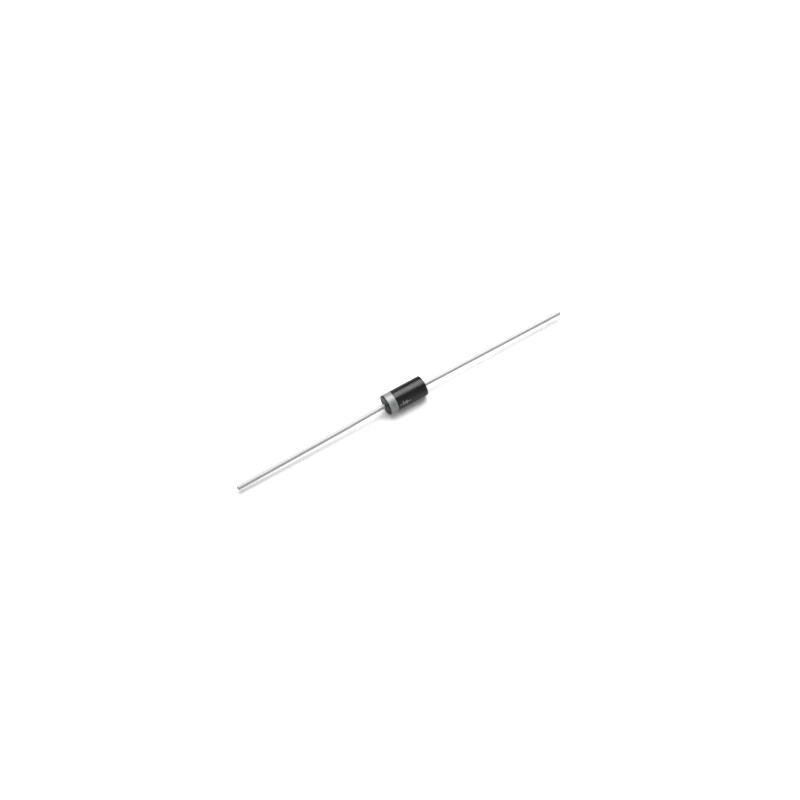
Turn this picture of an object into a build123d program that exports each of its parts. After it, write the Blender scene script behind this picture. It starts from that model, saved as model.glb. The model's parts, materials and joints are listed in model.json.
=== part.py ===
from build123d import *
import math
import os

# Axial rectifier diode in a DO-15 size moulded case, lying along X with its cathode at -X.
# Millimetres. The origin is the middle of the case, on the axis of the leads.

# Moulded epoxy case
case_diameter = 3.4
case_length = 7.1
case_edge_radius = 0.14

# Cathode band: a ring of ink let into the case by its own thickness
band_from_end = 0.18
band_width = 1.38
ink_thickness = 0.02

# Lead wire, tinned copper, measured outside the case
wire_diameter = 0.75
anode_wire_length = 26.9
cathode_wire_length = 26.9
tip_bevel = 0.09

# Nail head and anchor collar, upset on the wire inside the case
head_diameter = 1.9
head_thickness = 0.4
head_bevel = 0.08
collar_diameter = 1.2
collar_width = 0.34
collar_bevel = 0.09
collar_from_head = 1.0

# Slight bends of the wires, each in a plane through the axis, swung from straight down towards -Y
bend_stub = 0.5
bend_radius = 8.0
anode_angle = 1.0
anode_swing = 0.0
cathode_near_run = 7.2
cathode_near_angle = 2.9
cathode_far_angle = 1.15
cathode_far_radius = 40.0
cathode_swing = 10.0

# Rectifier chip and the solder on both its faces
chip_side = 1.3
chip_thickness = 0.28
chip_moat_width = 0.1
chip_moat_depth = 0.05
solder_diameter = 1.06
solder_thickness = 0.05

# Silicone rubber bead round the junction
coating_diameter = 2.5
coating_over_head = 0.28
coating_skin = 0.1

# Where the stack's faces lie, from the chip outwards
chip_face = chip_thickness / 2
head_face = chip_face + solder_thickness
head_back = head_face + head_thickness
collar_face = head_back + collar_from_head
case_face = case_length / 2
wire_start = head_face + head_thickness / 2


def headed_lead(side, runs, bend_radii, swing):
    """A lead on one side of the chip: +1 for the anode, -1 for the cathode.

    runs are the wire's lengths beyond its stub, each with the angle that it droops at.
    """
    droop = Vector(0, -math.sin(math.radians(swing)), -math.cos(math.radians(swing)))
    outward = Vector(side, 0, 0)
    wire_plane = Plane(origin=(0, 0, 0), x_dir=outward, z_dir=outward.cross(droop))
    corners = [(wire_start, 0), (case_face + bend_stub, 0)]
    for run, angle in runs:
        reach, drop = corners[-1]
        slope = math.radians(angle)
        corners.append((reach + run * math.cos(slope), drop + run * math.sin(slope)))
    with BuildPart() as lead:
        with BuildLine(wire_plane) as route:
            FilletPolyline(*corners, radius=bend_radii)
        path = route.wire()
        with BuildSketch(Plane(origin=path @ 0, z_dir=path % 0)):
            Circle(wire_diameter / 2)
        sweep(path=path)
        tip = lead.faces().filter_by(GeomType.PLANE).sort_by(Axis.X)[0 if side < 0 else -1]
        chamfer(tip.edges(), length=tip_bevel)
        with BuildSketch(Plane.YZ.offset(side * head_face)):
            Circle(head_diameter / 2)
        extrude(amount=side * head_thickness)
        head_rims = lead.edges(Select.LAST).filter_by(GeomType.CIRCLE).sort_by(SortBy.RADIUS)[-2:]
        chamfer(head_rims, length=head_bevel)
        with BuildSketch(Plane.YZ.offset(side * collar_face)):
            Circle(collar_diameter / 2)
        extrude(amount=side * collar_width)
        collar_rims = lead.edges(Select.LAST).filter_by(GeomType.CIRCLE).sort_by(SortBy.RADIUS)[-2:]
        chamfer(collar_rims, length=collar_bevel)
    return lead


def solder_joint(side):
    """The solder disc between the chip and one lead's head."""
    with BuildPart() as solder:
        with BuildSketch(Plane.YZ.offset(side * chip_face)):
            Circle(solder_diameter / 2)
        extrude(amount=side * solder_thickness)
    return solder


# Anode lead, with one slight bend just outside the case
anode_run = anode_wire_length - bend_stub
anode_lead = headed_lead(1, [(anode_run, anode_angle)], [bend_radius], anode_swing)
anode_lead.part.label = "anode_lead"

# Cathode lead, with a slight bend just outside the case and a slighter one back
far_run = cathode_wire_length - bend_stub - cathode_near_run
cathode_runs = [(cathode_near_run, cathode_near_angle), (far_run, cathode_far_angle)]
cathode_lead = headed_lead(-1, cathode_runs, [bend_radius, cathode_far_radius], cathode_swing)
cathode_lead.part.label = "cathode_lead"

# Silicon chip: a square with a moat etched round the edge of its junction face
with BuildPart() as rectifier_chip:
    with BuildSketch(Plane.YZ.offset(-chip_face)):
        Rectangle(chip_side, chip_side)
    extrude(amount=chip_thickness)
    with BuildSketch(Plane.YZ.offset(chip_face)):
        Rectangle(chip_side, chip_side)
        Rectangle(chip_side - 2 * chip_moat_width, chip_side - 2 * chip_moat_width, mode=Mode.SUBTRACT)
    extrude(amount=-chip_moat_depth, mode=Mode.SUBTRACT)
rectifier_chip.part.label = "rectifier_chip"

cathode_solder = solder_joint(-1)
cathode_solder.part.label = "cathode_solder"
anode_solder = solder_joint(1)
anode_solder.part.label = "anode_solder"

# Silicone bead: bulges round the chip and laps over the rims of both heads
with BuildPart() as junction_coating:
    with BuildSketch(Plane.XZ):
        lap_end = head_face + coating_over_head
        lap_radius = head_diameter / 2 + coating_skin
        with BuildLine():
            ThreePointArc((-lap_end, lap_radius), (0, coating_diameter / 2), (lap_end, lap_radius))
            Polyline((lap_end, lap_radius), (lap_end, 0), (-lap_end, 0), (-lap_end, lap_radius))
        make_face()
    revolve(axis=Axis.X)
    for piece in (anode_lead, cathode_lead, anode_solder, cathode_solder, rectifier_chip):
        add(piece.part, mode=Mode.SUBTRACT)
junction_coating.part.label = "junction_coating"

# Cathode band
with BuildPart() as cathode_band:
    with BuildSketch(Plane.YZ.offset(-case_face + band_from_end)):
        Circle(case_diameter / 2)
        Circle(case_diameter / 2 - ink_thickness, mode=Mode.SUBTRACT)
    extrude(amount=band_width)
cathode_band.part.label = "cathode_band"

# Epoxy case, moulded round everything inside it
with BuildPart() as moulded_case:
    with BuildSketch(Plane.YZ.offset(-case_face)):
        Circle(case_diameter / 2)
    extrude(amount=case_length)
    fillet(moulded_case.edges().filter_by(GeomType.CIRCLE), radius=case_edge_radius)
    for piece in (anode_lead, cathode_lead, anode_solder, cathode_solder, rectifier_chip):
        add(piece.part, mode=Mode.SUBTRACT)
    add(junction_coating.part, mode=Mode.SUBTRACT)
    add(cathode_band.part, mode=Mode.SUBTRACT)
moulded_case.part.label = "moulded_case"

pieces = (
    moulded_case,
    cathode_band,
    cathode_lead,
    anode_lead,
    rectifier_chip,
    cathode_solder,
    anode_solder,
    junction_coating,
)

os.makedirs("parts", exist_ok=True)
for piece in pieces:
    export_step(piece.part, f"parts/{piece.part.label}.step")
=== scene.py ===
import json
import math

import bmesh
import bpy
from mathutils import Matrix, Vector


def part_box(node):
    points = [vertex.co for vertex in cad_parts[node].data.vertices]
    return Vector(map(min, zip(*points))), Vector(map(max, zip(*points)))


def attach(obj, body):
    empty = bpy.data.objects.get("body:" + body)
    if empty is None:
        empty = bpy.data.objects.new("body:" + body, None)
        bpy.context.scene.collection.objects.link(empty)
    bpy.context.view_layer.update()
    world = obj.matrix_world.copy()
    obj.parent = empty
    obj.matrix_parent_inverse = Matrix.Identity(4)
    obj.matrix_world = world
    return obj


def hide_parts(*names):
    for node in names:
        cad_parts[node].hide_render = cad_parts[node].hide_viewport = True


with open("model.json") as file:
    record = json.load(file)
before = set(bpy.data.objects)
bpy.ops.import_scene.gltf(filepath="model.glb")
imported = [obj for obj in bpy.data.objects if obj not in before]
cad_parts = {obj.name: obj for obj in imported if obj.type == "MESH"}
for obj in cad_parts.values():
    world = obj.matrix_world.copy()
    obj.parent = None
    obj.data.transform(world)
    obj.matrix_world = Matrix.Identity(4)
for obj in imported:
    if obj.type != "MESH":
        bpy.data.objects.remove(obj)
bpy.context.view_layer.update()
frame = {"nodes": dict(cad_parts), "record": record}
scene = bpy.context.scene
print("frame loaded:", ", ".join(sorted(frame["nodes"])))

mm = 0.001  # scene units are metres
onPlane = 1e-9  # a point nearer than this to the parting plane lies on it


def mounted(name):  # the record's own line for a mount
    return next(m for m in frame["record"]["mounts"] if m["name"] == name)


def roundSection(radius, sides):  # ring of points round +X, in YZ
    angles = [2 * math.pi * i / sides for i in range(sides)]
    return [(radius * math.cos(a), radius * math.sin(a)) for a in angles]


# Sizes read from the frame

_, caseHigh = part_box("moulded_case")
bandLow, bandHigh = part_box("cathode_band")
caseRadius = caseHigh.y
caseEnd = caseHigh.x
wireRadius = mounted("anode_wire")["dims"]["r_mm"] * mm
floorHeight = -caseRadius


# Colour and node helpers

def srgb(hexCode):  # sRGB hex to a linear colour for a socket
    channels = [int(hexCode[i:i + 2], 16) / 255 for i in (1, 3, 5)]
    return [c / 12.92 if c <= 0.04045 else ((c + 0.055) / 1.055) ** 2.4 for c in channels] + [1.0]


def grey(level):
    return [level, level, level, 1.0]


def socketOf(sockets, key):  # some nodes hide a second socket of the same name
    if isinstance(key, int):
        return sockets[key]
    return next(socket for socket in sockets if socket.name == key and socket.enabled)


def addNode(tree, kind, settings=None, values=None, links=None):
    # settings go on the node, values on its inputs, links join another node's output to an input
    node = tree.nodes.new(kind)
    for key, value in (settings or {}).items():
        setattr(node, key, value)
    for key, value in (values or {}).items():
        socketOf(node.inputs, key).default_value = value
    for key, (source, output) in (links or {}).items():
        tree.links.new(socketOf(source.outputs, output), socketOf(node.inputs, key))
    return node


def newMaterial(name):
    material = bpy.data.materials.new(name)
    material.use_nodes = True
    material.node_tree.nodes.clear()
    return material, material.node_tree


def rampStops(node, stops):
    ramp = node.color_ramp
    while len(ramp.elements) > len(stops):
        ramp.elements.remove(ramp.elements[-1])
    while len(ramp.elements) < len(stops):
        ramp.elements.new(1.0)
    for element, (position, colour) in zip(ramp.elements, stops):
        element.position = position
        element.color = colour


def blend(node, span, first, second):  # one colour turns into the other across a span of the noise
    rampStops(node, [(span[0], srgb(first)), (span[1], srgb(second))])


def finishMaterial(tree, shader):
    addNode(tree, "ShaderNodeOutputMaterial", links={"Surface": (shader, 0)})


# In the dictionaries of materials, a span is the stretch of a noise texture's values over which one
# look turns into the next, and a "PerMetre" number says how often a pattern changes along its grain.

# Epoxy moulding compound: transfer moulded in a polished steel tool, then printed and handled.
# Its silica filler gives a neutral black that is faintly mottled, with a wide soft gloss.

epoxy = {
    "black": "#0b0b0c",  # filled black epoxy
    "fleck": "#131313",  # silica showing at the skin
    "fleckSpan": (0.42, 0.72),
    "ior": 1.64,
    "gloss": 0.26,  # polished cavity, softened by filler
    "dullGloss": 0.36,
    "glossSpan": (0.35, 0.65),
    "fleckMm": 0.09,  # filler grains, drawn at twice their size so that they show
    "skinMm": 0.5,  # slow waviness of the moulded skin
    "bumpMm": 0.0022,
    "waveMm": 0.004,
}


def makeEpoxy():
    material, tree = newMaterial("epoxyMouldingCompoundMoulded")
    place = addNode(tree, "ShaderNodeTexCoord")
    fleck = addNode(tree, "ShaderNodeTexNoise",
                    values={"Scale": 1 / (epoxy["fleckMm"] * mm), "Detail": 3.0, "Roughness": 0.6},
                    links={"Vector": (place, "Object")})
    skin = addNode(tree, "ShaderNodeTexNoise",
                   values={"Scale": 1 / (epoxy["skinMm"] * mm), "Detail": 2.0, "Roughness": 0.5},
                   links={"Vector": (place, "Object")})
    colour = addNode(tree, "ShaderNodeValToRGB", links={"Fac": (fleck, 0)})
    blend(colour, epoxy["fleckSpan"], epoxy["black"], epoxy["fleck"])
    low, high = epoxy["glossSpan"]
    gloss = addNode(tree, "ShaderNodeMapRange",
                    values={"From Min": low, "From Max": high,
                            "To Min": epoxy["gloss"], "To Max": epoxy["dullGloss"]},
                    links={"Value": (skin, 0)})
    grain = addNode(tree, "ShaderNodeBump",
                    values={"Strength": 0.35, "Distance": epoxy["bumpMm"] * mm},
                    links={"Height": (fleck, 0)})
    wave = addNode(tree, "ShaderNodeBump",
                   values={"Strength": 0.5, "Distance": epoxy["waveMm"] * mm},
                   links={"Height": (skin, 0), "Normal": (grain, "Normal")})
    shader = addNode(tree, "ShaderNodeBsdfPrincipled", values={"IOR": epoxy["ior"]},
                     links={"Base Color": (colour, "Color"), "Roughness": (gloss, "Result"),
                            "Normal": (wave, "Normal")})
    finishMaterial(tree, shader)
    return material


# Silver-grey marking ink: rolled on the case and cured. Thin and slightly uneven, so the band
# looks milky, with a soft sheen and small worn flecks where the black shows through.

ink = {
    "ior": 1.48,
    "metal": 0.45,  # aluminium flake in the ink
    "gloss": 0.42,
    "dullGloss": 0.55,
    "glossSpan": (0.35, 0.65),
    "blotchMm": 0.7,  # how far the film's thickness wanders
    "streakMm": 0.16,  # width of the roller's streaks, along the axis
    "streakPerMetre": 120.0,
    "streakShare": 0.35,  # of the thickness that comes from streaks, not blotches
    "filmSpan": (0.38, 0.6),
    "fleckMm": 0.07,  # pinholes in the film, drawn coarse enough to show
    "holeSpan": (0.66, 0.76),
    "bumpMm": 0.0018,
    "band": {"full": "#c2c3c3", "thin": "#a7a8a8", "worn": "#3a3a3b", "wear": 0.75},
    "mark": {"full": "#c8c9c9", "thin": "#808181", "worn": "#1c1c1c", "wear": 0.9},
}


def makeInk(name, look):
    material, tree = newMaterial(name)
    place = addNode(tree, "ShaderNodeTexCoord")
    blotch = addNode(tree, "ShaderNodeTexNoise",
                     values={"Scale": 1 / (ink["blotchMm"] * mm), "Detail": 3.0, "Roughness": 0.55},
                     links={"Vector": (place, "Object")})
    stretch = addNode(tree, "ShaderNodeMapping",
                      values={"Scale": (1 / (ink["streakMm"] * mm), ink["streakPerMetre"],
                                        ink["streakPerMetre"])},
                      links={"Vector": (place, "Object")})
    streak = addNode(tree, "ShaderNodeTexNoise", values={"Scale": 1.0, "Detail": 2.0},
                     links={"Vector": (stretch, "Vector")})
    fleck = addNode(tree, "ShaderNodeTexNoise",
                    values={"Scale": 1 / (ink["fleckMm"] * mm), "Detail": 2.0, "Roughness": 0.7},
                    links={"Vector": (place, "Object")})
    film = addNode(tree, "ShaderNodeMix", settings={"data_type": "FLOAT"},
                   values={"Factor": ink["streakShare"]}, links={"A": (blotch, 0), "B": (streak, 0)})
    colour = addNode(tree, "ShaderNodeValToRGB", links={"Fac": (film, "Result")})
    blend(colour, ink["filmSpan"], look["thin"], look["full"])
    low, high = ink["holeSpan"]
    hole = addNode(tree, "ShaderNodeMapRange",
                   values={"From Min": low, "From Max": high, "To Min": 0.0, "To Max": look["wear"]},
                   links={"Value": (fleck, 0)})
    worn = addNode(tree, "ShaderNodeMix", settings={"data_type": "RGBA"},
                   values={"B": srgb(look["worn"])},
                   links={"Factor": (hole, "Result"), "A": (colour, "Color")})
    low, high = ink["glossSpan"]
    gloss = addNode(tree, "ShaderNodeMapRange",
                    values={"From Min": low, "From Max": high,
                            "To Min": ink["gloss"], "To Max": ink["dullGloss"]},
                    links={"Value": (blotch, 0)})
    bump = addNode(tree, "ShaderNodeBump",
                   values={"Strength": 0.5, "Distance": ink["bumpMm"] * mm},
                   links={"Height": (fleck, 0)})
    shader = addNode(tree, "ShaderNodeBsdfPrincipled",
                     values={"IOR": ink["ior"], "Metallic": ink["metal"]},
                     links={"Base Color": (worn, "Result"), "Roughness": (gloss, "Result"),
                            "Normal": (bump, "Normal")})
    finishMaterial(tree, shader)
    return material


# Tinned copper: drawn wire, electroplated with matte tin. Draw lines run along it and the tin is
# hazy, so it looks pale and satin, with wide soft reflections and no mirror's.

tin = {
    "bright": "#ececeb",
    "hazy": "#e1e1e0",
    "hazeSpan": (0.35, 0.62),
    "gloss": 0.6,
    "dullGloss": 0.7,
    "glossSpan": (0.35, 0.7),
    "lineMm": 0.035,  # spacing of the die's draw lines
    "linePerMetre": 60.0,
    "hazeMm": 2.2,  # patches of heavier haze
    "bumpMm": 0.0009,
}


def makeTin():
    material, tree = newMaterial("tinnedCopperDrawn")
    place = addNode(tree, "ShaderNodeTexCoord")
    fine = 1 / (tin["lineMm"] * mm)
    along = addNode(tree, "ShaderNodeMapping", values={"Scale": (tin["linePerMetre"], fine, fine)},
                    links={"Vector": (place, "Object")})
    lines = addNode(tree, "ShaderNodeTexNoise", values={"Scale": 1.0, "Detail": 2.0},
                    links={"Vector": (along, "Vector")})
    haze = addNode(tree, "ShaderNodeTexNoise",
                   values={"Scale": 1 / (tin["hazeMm"] * mm), "Detail": 4.0, "Roughness": 0.6},
                   links={"Vector": (place, "Object")})
    colour = addNode(tree, "ShaderNodeValToRGB", links={"Fac": (haze, 0)})
    blend(colour, tin["hazeSpan"], tin["hazy"], tin["bright"])
    low, high = tin["glossSpan"]
    gloss = addNode(tree, "ShaderNodeMapRange",
                    values={"From Min": low, "From Max": high,
                            "To Min": tin["gloss"], "To Max": tin["dullGloss"]},
                    links={"Value": (haze, 0)})
    bump = addNode(tree, "ShaderNodeBump",
                   values={"Strength": 0.4, "Distance": tin["bumpMm"] * mm},
                   links={"Height": (lines, 0)})
    shader = addNode(tree, "ShaderNodeBsdfPrincipled", values={"Metallic": 1.0},
                     links={"Base Color": (colour, "Color"), "Roughness": (gloss, "Result"),
                            "Normal": (bump, "Normal")})
    finishMaterial(tree, shader)
    return material


# Sheared copper: the wire's cut ends. Tin is dragged over the rim and the core shows a duller,
# faintly pink grey, torn across in the blade's direction.

cut = {
    "copper": "#8f7a6c",
    "smear": "#a9a6a1",
    "smearSpan": (0.4, 0.6),
    "gloss": 0.42,
    "tearMm": 0.06,
    "tearPerMetre": 400.0,
    "bumpMm": 0.006,
}


def makeCut():
    material, tree = newMaterial("tinnedCopperSheared")
    place = addNode(tree, "ShaderNodeTexCoord")
    across = addNode(tree, "ShaderNodeMapping",
                     values={"Scale": (cut["tearPerMetre"], cut["tearPerMetre"],
                                       1 / (cut["tearMm"] * mm))},
                     links={"Vector": (place, "Object")})
    tear = addNode(tree, "ShaderNodeTexNoise", values={"Scale": 1.0, "Detail": 3.0},
                   links={"Vector": (across, "Vector")})
    colour = addNode(tree, "ShaderNodeValToRGB", links={"Fac": (tear, 0)})
    blend(colour, cut["smearSpan"], cut["copper"], cut["smear"])
    bump = addNode(tree, "ShaderNodeBump",
                   values={"Strength": 0.8, "Distance": cut["bumpMm"] * mm},
                   links={"Height": (tear, 0)})
    shader = addNode(tree, "ShaderNodeBsdfPrincipled",
                     values={"Metallic": 1.0, "Roughness": cut["gloss"]},
                     links={"Base Color": (colour, "Color"), "Normal": (bump, "Normal")})
    finishMaterial(tree, shader)
    return material


# The sealed pieces: a lapped silicon chip, reflowed high-lead solder and white silicone rubber.
# Nothing shows them in the finished part, and each still has its own plain finish.

grainSpan = (0.35, 0.65)
sealed = {
    "chip": {
        "name": "siliconLapped", "nodes": ["rectifier_chip"],
        "colour": "#6b6f78", "shade": "#4b4f57", "gloss": 0.2, "metal": 0.0, "grainMm": 0.05,
    },
    "solder": {
        "name": "solderReflowed", "nodes": ["cathode_solder", "anode_solder"],
        "colour": "#b4b6ba", "shade": "#8f9196", "gloss": 0.35, "metal": 1.0, "grainMm": 0.08,
    },
    "silicone": {
        "name": "siliconeRubberCured", "nodes": ["junction_coating"],
        "colour": "#e6e5df", "shade": "#d6d5ce", "gloss": 0.45, "metal": 0.0, "grainMm": 0.12,
    },
}


def makeSealed(look):
    material, tree = newMaterial(look["name"])
    place = addNode(tree, "ShaderNodeTexCoord")
    grain = addNode(tree, "ShaderNodeTexNoise",
                    values={"Scale": 1 / (look["grainMm"] * mm), "Detail": 3.0},
                    links={"Vector": (place, "Object")})
    colour = addNode(tree, "ShaderNodeValToRGB", links={"Fac": (grain, 0)})
    blend(colour, grainSpan, look["shade"], look["colour"])
    shader = addNode(tree, "ShaderNodeBsdfPrincipled",
                     values={"Metallic": look["metal"], "Roughness": look["gloss"]},
                     links={"Base Color": (colour, "Color")})
    finishMaterial(tree, shader)
    return material


epoxyMaterial = makeEpoxy()
bandInk = makeInk("silverMarkingInkRolled", ink["band"])
markInk = makeInk("silverMarkingInkPadPrinted", ink["mark"])
tinMaterial = makeTin()
cutMaterial = makeCut()
print("materials made")


# Meshes

def smoothPiece(name, verts, faces, materials, faceMaterials=None):
    mesh = bpy.data.meshes.new(name)
    mesh.from_pydata(verts, [], faces)
    for material in materials:
        mesh.materials.append(material)
    for index, polygon in enumerate(mesh.polygons):
        polygon.use_smooth = True
        if faceMaterials:
            polygon.material_index = faceMaterials[index]
    shell = bmesh.new()
    shell.from_mesh(mesh)
    bmesh.ops.recalc_face_normals(shell, faces=shell.faces)  # every face looks outwards
    shell.to_mesh(mesh)
    shell.free()
    piece = bpy.data.objects.new(name, mesh)
    scene.collection.objects.link(piece)
    return piece


def arcPoints(centre, radius, start, end, steps):  # (x, r) points, angles in degrees from +X
    angles = [math.radians(start + (end - start) * i / steps) for i in range(steps + 1)]
    return [(centre[0] + radius * math.cos(a), centre[1] + radius * math.sin(a)) for a in angles]


def tubeFaces(rings, sides):  # the wall between rings of points that follow each other
    faces = []
    for ring in range(rings - 1):
        near, far = ring * sides, (ring + 1) * sides
        for i in range(sides):
            k = (i + 1) % sides
            faces.append((near + i, near + k, far + k, far + i))
    return faces


def lathe(profile, sides):  # revolves (x, r) points round X, with a lid on the first and last ring
    verts = [(x, y, z) for x, r in profile for y, z in roundSection(r, sides)]
    faces = tubeFaces(len(profile), sides)
    last = len(verts) - sides
    faces.append(tuple(reversed(range(sides))))
    faces.append(tuple(range(last, last + sides)))
    return verts, faces


# Moulded case: a round body with soft edges, a faint parting line along both sides, and a slight
# fillet of epoxy where it wets each wire.

body = {
    "sides": 192,
    "spans": 24,  # rings along its straight wall
    "endRings": (0.5, 0.75),  # rings on its flat ends, as shares of the way out from the wire
    "edgeRadiusMm": 0.14,
    "edgeSteps": 8,
    "wetWidthMm": 0.16,  # meniscus of resin round each wire
    "wetHeightMm": 0.1,
    "wetCurve": 2.2,  # how steeply it climbs the wire
    "wetRim": 0.97,  # its rim in wire radii, just under the wire's skin
    "flashMm": 0.01,  # height of the parting line, where the halves of the mould met
}


def buildCase():
    r, e = caseRadius, body["edgeRadiusMm"] * mm
    wetWidth, wetHeight = body["wetWidthMm"] * mm, body["wetHeightMm"] * mm
    steps, spans = body["edgeSteps"], body["spans"]
    profile = [(-caseEnd - wetHeight, wireRadius * body["wetRim"])]
    for i in range(steps + 1):
        t = i / steps
        climb = wetHeight * (1 - t) ** body["wetCurve"]
        profile.append((-caseEnd - climb, wireRadius + wetWidth * t))
    profile += [(-caseEnd, wireRadius + (r - e - wireRadius) * t) for t in body["endRings"]]
    profile += arcPoints((-caseEnd + e, r - e), e, 180, 90, steps)
    middle = [(-caseEnd + e + (2 * caseEnd - 2 * e) * i / spans, r) for i in range(1, spans)]
    mirrored = [(-x, radius) for x, radius in reversed(profile)]
    verts, faces = lathe(profile + middle + mirrored, body["sides"])
    flash = 1 + body["flashMm"] * mm / r  # for the points on the parting plane alone
    verts = [(x, y * flash if abs(z) < onPlane and abs(y) > r - e else y, z) for x, y, z in verts]
    return smoothPiece("case", verts, faces, [epoxyMaterial])


case = buildCase()
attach(case, "root")
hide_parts("moulded_case")
print("case built")


# Cathode band: a film of ink round the case, its edges slightly ragged as rolled ink is.

band = {
    "sides": 256,
    "across": 12,
    "filmMm": 0.0072,  # how far it stands off the case, and how far it is sunk into it
    "edgeShare": 0.25,  # of that height, where the film thins out at both edges
    "ragMm": 0.014,  # how much of the axis a ragged edge takes up
    # ripples of each edge: how many go round the case, how strong, and where they start
    "leftRipples": ((7, 1.0, 1.0), (19, 0.6, 0.0), (41, 0.4, 2.0)),
    "rightRipples": ((9, 1.0, 0.0), (23, 0.6, 0.7), (37, 0.4, 0.0)),
}


def ragged(ripples, angle):  # how far an edge strays from its ring
    stray = sum(share * math.sin(count * angle + start) for count, share, start in ripples)
    return band["ragMm"] * mm * stray / 2


def buildBand():
    film, flash = band["filmMm"] * mm, body["flashMm"] * mm
    verts, faces = [], []
    sides, across = band["sides"], band["across"]
    points = across + 3
    for i in range(sides):
        a = 2 * math.pi * i / sides
        left = bandLow.x + ragged(band["leftRipples"], a)
        right = bandHigh.x + ragged(band["rightRipples"], a)
        ridge = flash if i in (0, sides // 2) else 0.0  # the film rides over the parting line
        for j in range(points):
            t = min(max((j - 1) / across, 0.0), 1.0)
            thin = band["edgeShare"] if t in (0.0, 1.0) else 1.0
            height = -film if j in (0, points - 1) else film * thin
            radius = caseRadius + height + ridge
            verts.append((left + (right - left) * t, radius * math.cos(a), radius * math.sin(a)))
    for i in range(sides):
        near, far = i * points, (i + 1) % sides * points
        for j in range(points):
            k = (j + 1) % points
            faces.append((near + j, far + j, far + k, near + k))
    return smoothPiece("band", verts, faces, [bandInk])


bandPiece = buildBand()
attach(bandPiece, "root")
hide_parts("cathode_band")
print("band built")


# Printed mark: the plain circuit symbol of a diode, pointing to the band, low on the side nearest
# the camera. Each patch is a thin film with four corners, wrapped round the case.

mark = {
    "alongMm": -0.7,  # its middle, along the case
    "roundDeg": 156.0,  # its middle, round the case from +Y towards +Z
    "filmMm": 0.006,
    "steps": 12,
    "patchesMm": {
        "arrow": ((0.42, -0.44), (0.42, 0.44), (-0.24, 0.02), (-0.24, -0.02)),
        "bar": ((-0.24, -0.44), (-0.24, 0.44), (-0.38, 0.44), (-0.38, -0.44)),
        "inLine": ((1.02, -0.06), (1.02, 0.06), (0.42, 0.06), (0.42, -0.06)),
        "outLine": ((-0.38, -0.06), (-0.38, 0.06), (-0.98, 0.06), (-0.98, -0.06)),
    },
}


def wrapPatch(corners, verts, faces):
    steps, film = mark["steps"], mark["filmMm"] * mm
    start = len(verts)
    size = steps + 1
    under = size * size  # from a point on top to the one below it
    for radius in (caseRadius + film, caseRadius - film):
        for i in range(size):
            for j in range(size):
                u, v = i / steps, j / steps
                weights = ((1 - u) * (1 - v), (1 - u) * v, u * v, u * (1 - v))
                along = sum(w * c[0] for w, c in zip(weights, corners)) + mark["alongMm"]
                across = sum(w * c[1] for w, c in zip(weights, corners))
                a = math.radians(mark["roundDeg"]) - across * mm / caseRadius
                verts.append((along * mm, radius * math.cos(a), radius * math.sin(a)))
    for i in range(steps):
        for j in range(steps):
            a = start + i * size + j
            top = (a, a + 1, a + size + 1, a + size)
            faces.append(top)
            faces.append(tuple(index + under for index in reversed(top)))
    rim = list(range(size)) + [i * size + steps for i in range(1, size)]
    rim += [steps * size + j for j in range(steps - 1, -1, -1)]
    rim += [i * size for i in range(steps - 1, 0, -1)]
    for a, b in zip(rim, rim[1:] + rim[:1]):
        faces.append((start + a, start + a + under, start + b + under, start + b))


def buildMark():
    verts, faces = [], []
    for corners in mark["patchesMm"].values():
        wrapPatch(corners, verts, faces)
    return smoothPiece("diodeSymbol", verts, faces, [markInk])


markPiece = buildMark()
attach(markPiece, "root")
print("mark printed")


# Wires: round, slightly bent near the case, with sheared tips. The route is the CAD wire's own.

wire = {
    "sides": 48,
    "stubMm": 0.5,  # from the case to the corner of the first bend
    "arcSteps": 10,
    # swing turns the plane of the bends from straight down towards -Y, in degrees, and each run is a
    # straight length in mm with the angle that it droops at
    "anode": {"side": 1, "swing": 0.0, "runs": [(26.4, 1.0)], "radiiMm": [8.0]},
    "cathode": {"side": -1, "swing": 10.0, "runs": [(7.2, 2.9), (19.2, 1.15)],
                "radiiMm": [8.0, 40.0]},
    "insideMm": 1.0,  # how far the wire goes on into the case
    "tipBevelMm": 0.09,
    # rings of the rounded tip, in bevels: back from the end, and in from the skin
    "tipRings": ((1.6, 0.0), (1.0, 0.02), (0.55, 0.28), (0.22, 0.62), (0.0, 1.0)),
    "domeRing": 0.55,  # a ring on the sheared face, as a share of its radius
    "domeRise": (0.1, 0.12),  # how far that ring and the face's middle stand out, in bevels
}


def wireRoute(lay):  # points and headings of the centre line, in the plane of the bends
    corners = [((caseEnd / mm) - wire["insideMm"], 0.0), (caseEnd / mm + wire["stubMm"], 0.0)]
    for run, angle in lay["runs"]:
        reach, drop = corners[-1]
        slope = math.radians(angle)
        corners.append((reach + run * math.cos(slope), drop + run * math.sin(slope)))
    headings = [0.0] + [math.radians(angle) for _, angle in lay["runs"]]
    points = [(corners[0], headings[0])]
    for corner, radius, before, after in zip(corners[1:], lay["radiiMm"], headings, headings[1:]):
        cutBack = radius * abs(math.tan((after - before) / 2))
        start = (corner[0] - cutBack * math.cos(before), corner[1] - cutBack * math.sin(before))
        bend = radius if after > before else -radius
        centre = (start[0] - bend * math.sin(before), start[1] + bend * math.cos(before))
        for i in range(wire["arcSteps"] + 1):
            heading = before + (after - before) * i / wire["arcSteps"]
            points.append(((centre[0] + bend * math.sin(heading),
                            centre[1] - bend * math.cos(heading)), heading))
    points.append((corners[-1], headings[-1]))
    return points


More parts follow.
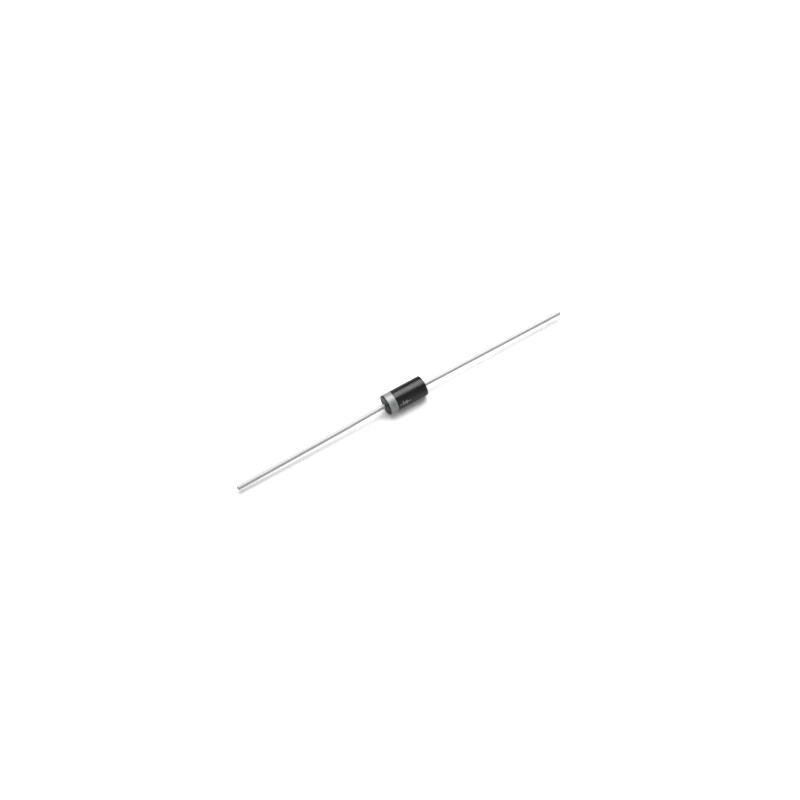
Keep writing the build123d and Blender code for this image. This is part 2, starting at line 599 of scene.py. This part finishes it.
def buildWire(name, lay):
    sides, bevel = wire["sides"], wire["tipBevelMm"] * mm
    swing = math.radians(lay["swing"])
    outward = Vector((lay["side"], 0, 0))
    droop = Vector((0, -math.sin(swing), -math.cos(swing)))
    across = outward.cross(droop)
    rings = []
    for (reach, drop), heading in wireRoute(lay):
        centre = outward * reach * mm + droop * drop * mm
        forward = outward * math.cos(heading) + droop * math.sin(heading)
        rings.append((centre, forward, wireRadius))
    tip, forward, _ = rings.pop()
    for back, inset in wire["tipRings"]:
        rings.append((tip - forward * (bevel * back), forward, wireRadius - bevel * inset))
    ringRise, middleRise = wire["domeRise"]
    rimRadius = rings[-1][2]
    rings.append((tip + forward * (bevel * ringRise), forward, rimRadius * wire["domeRing"]))
    verts = []
    for centre, heading, radius in rings:
        down = across.cross(heading)
        verts += [centre + (across * y + down * z) * radius for y, z in roundSection(1.0, sides)]
    last = len(verts) - sides
    faces = tubeFaces(len(rings), sides)
    slots = [0] * (len(faces) - sides) + [1] * sides
    verts.append(tip + forward * (bevel * middleRise))
    for i in range(sides):
        faces.append((last + i, last + (i + 1) % sides, last + sides))
        slots.append(1)
    faces.append(tuple(reversed(range(sides))))
    slots.append(0)
    return smoothPiece(name, verts, faces, [tinMaterial, cutMaterial], slots)


for name in ("anode", "cathode"):
    lead = buildWire(name + "Wire", wire[name])
    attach(lead, "root")
    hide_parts(name + "_lead")
print("wires built")


# Sealed pieces keep their CAD meshes

for look in sealed.values():
    finish = makeSealed(look)
    for node in look["nodes"]:
        mesh = frame["nodes"][node].data
        mesh.materials.clear()
        mesh.materials.append(finish)
print("sealed pieces finished")


# Floor, lights and camera

room = {
    "floorSide": 0.42,
    "floor": "#f4f4f4",
    "shownGain": 2.0,  # the camera sees the floor past white, and its shadows lift with it
    "mirroredGain": 0.75,  # the floor as the diode mirrors it
    # how bright the room is from its front wall, over the ceiling, to its back wall
    "dome": [(0.0, 0.36), (0.28, 0.12), (0.5, 0.18), (0.8, 0.2), (0.96, 0.03)],
    "domeReach": 0.85,  # how far towards +Y or -Y a direction points where those walls start
    "keyPower": 1.1,  # watts
    "keySize": (0.36, 0.27),  # metres, as all of the room's lengths are
    "keyDistance": 0.32,
    "keyToward": (0.2421, 0.405, 0.88),
}


def buildFloor():
    half = room["floorSide"] / 2
    mesh = bpy.data.meshes.new("floor")
    mesh.from_pydata([(-half, -half, floorHeight), (half, -half, floorHeight),
                      (half, half, floorHeight), (-half, half, floorHeight)], [], [(0, 1, 2, 3)])
    material, tree = newMaterial("paperSweepPale")
    path = addNode(tree, "ShaderNodeLightPath")
    mirrored = addNode(tree, "ShaderNodeMath", settings={"operation": "MAXIMUM"},
                       links={0: (path, "Is Glossy Ray"), 1: (path, "Is Transmission Ray")})
    plain, lit, bright = ([c * gain for c in srgb(room["floor"])[:3]] + [1.0]
                          for gain in (1.0, room["mirroredGain"], room["shownGain"]))
    reflected = addNode(tree, "ShaderNodeMix", settings={"data_type": "RGBA"},
                        values={"A": plain, "B": lit}, links={"Factor": (mirrored, 0)})
    colour = addNode(tree, "ShaderNodeMix", settings={"data_type": "RGBA"}, values={"B": bright},
                     links={"A": (reflected, "Result"), "Factor": (path, "Is Camera Ray")})
    diffuse = addNode(tree, "ShaderNodeBsdfDiffuse", links={"Color": (colour, "Result")})
    finishMaterial(tree, diffuse)
    mesh.materials.append(material)
    floor = bpy.data.objects.new("floor", mesh)
    scene.collection.objects.link(floor)


def buildWorld():
    world = bpy.data.worlds.new("studio")
    scene.world = world
    world.use_nodes = True
    tree = world.node_tree
    tree.nodes.clear()
    path = addNode(tree, "ShaderNodeLightPath")
    heading = addNode(tree, "ShaderNodeTexCoord")
    depth = addNode(tree, "ShaderNodeSeparateXYZ", links={"Vector": (heading, "Generated")})
    place = addNode(tree, "ShaderNodeMapRange", links={"Value": (depth, "Y")},
                    values={"From Min": -room["domeReach"], "From Max": room["domeReach"]})
    level = addNode(tree, "ShaderNodeValToRGB", links={"Fac": (place, "Result")})
    rampStops(level, [(stop, grey(strength)) for stop, strength in room["dome"]])
    shown = addNode(tree, "ShaderNodeMath", settings={"operation": "MAXIMUM"},
                    links={0: (level, "Color"), 1: (path, "Is Camera Ray")})
    dome = addNode(tree, "ShaderNodeBackground", values={"Color": grey(1.0)},
                   links={"Strength": (shown, 0)})
    addNode(tree, "ShaderNodeOutputWorld", links={"Surface": (dome, 0)})


def buildKey():
    data = bpy.data.lights.new("overheadSoftbox", "AREA")
    data.shape = "RECTANGLE"
    data.size, data.size_y = room["keySize"]
    data.energy = room["keyPower"]
    lamp = bpy.data.objects.new("overheadSoftbox", data)
    lamp.location = Vector(room["keyToward"]) * room["keyDistance"]
    lamp.rotation_mode = "QUATERNION"
    lamp.rotation_quaternion = (-lamp.location).to_track_quat("-Z", "Y")
    scene.collection.objects.link(lamp)


view = {
    "azimuth": -31.46,
    "elevation": 62.0,
    "distance": 0.2,
    "lensMm": 56.0,
    "sensorMm": 36.0,
    "clips": (0.005, 20.0),
    "slideRightMm": -0.67,  # the case sits a little off the picture's middle
    "slideUpMm": -0.76,
}


def buildCamera():
    a, e = math.radians(view["azimuth"]), math.radians(view["elevation"])
    back = Vector((math.sin(a) * math.cos(e), -math.cos(a) * math.cos(e), math.sin(e)))
    turn = (-back).to_track_quat("-Z", "Y")
    right, up = turn @ Vector((1, 0, 0)), turn @ Vector((0, 1, 0))
    slide = (right * view["slideRightMm"] + up * view["slideUpMm"]) * mm
    data = bpy.data.cameras.new("camera")
    data.lens, data.sensor_width = view["lensMm"], view["sensorMm"]
    data.clip_start, data.clip_end = view["clips"]
    camera = bpy.data.objects.new("camera", data)
    camera.location = back * view["distance"] + slide
    camera.rotation_mode = "QUATERNION"
    camera.rotation_quaternion = turn
    scene.collection.objects.link(camera)
    scene.camera = camera


buildFloor()
buildWorld()
buildKey()
buildCamera()
scene.view_settings.view_transform = "Standard"
print("stage set")
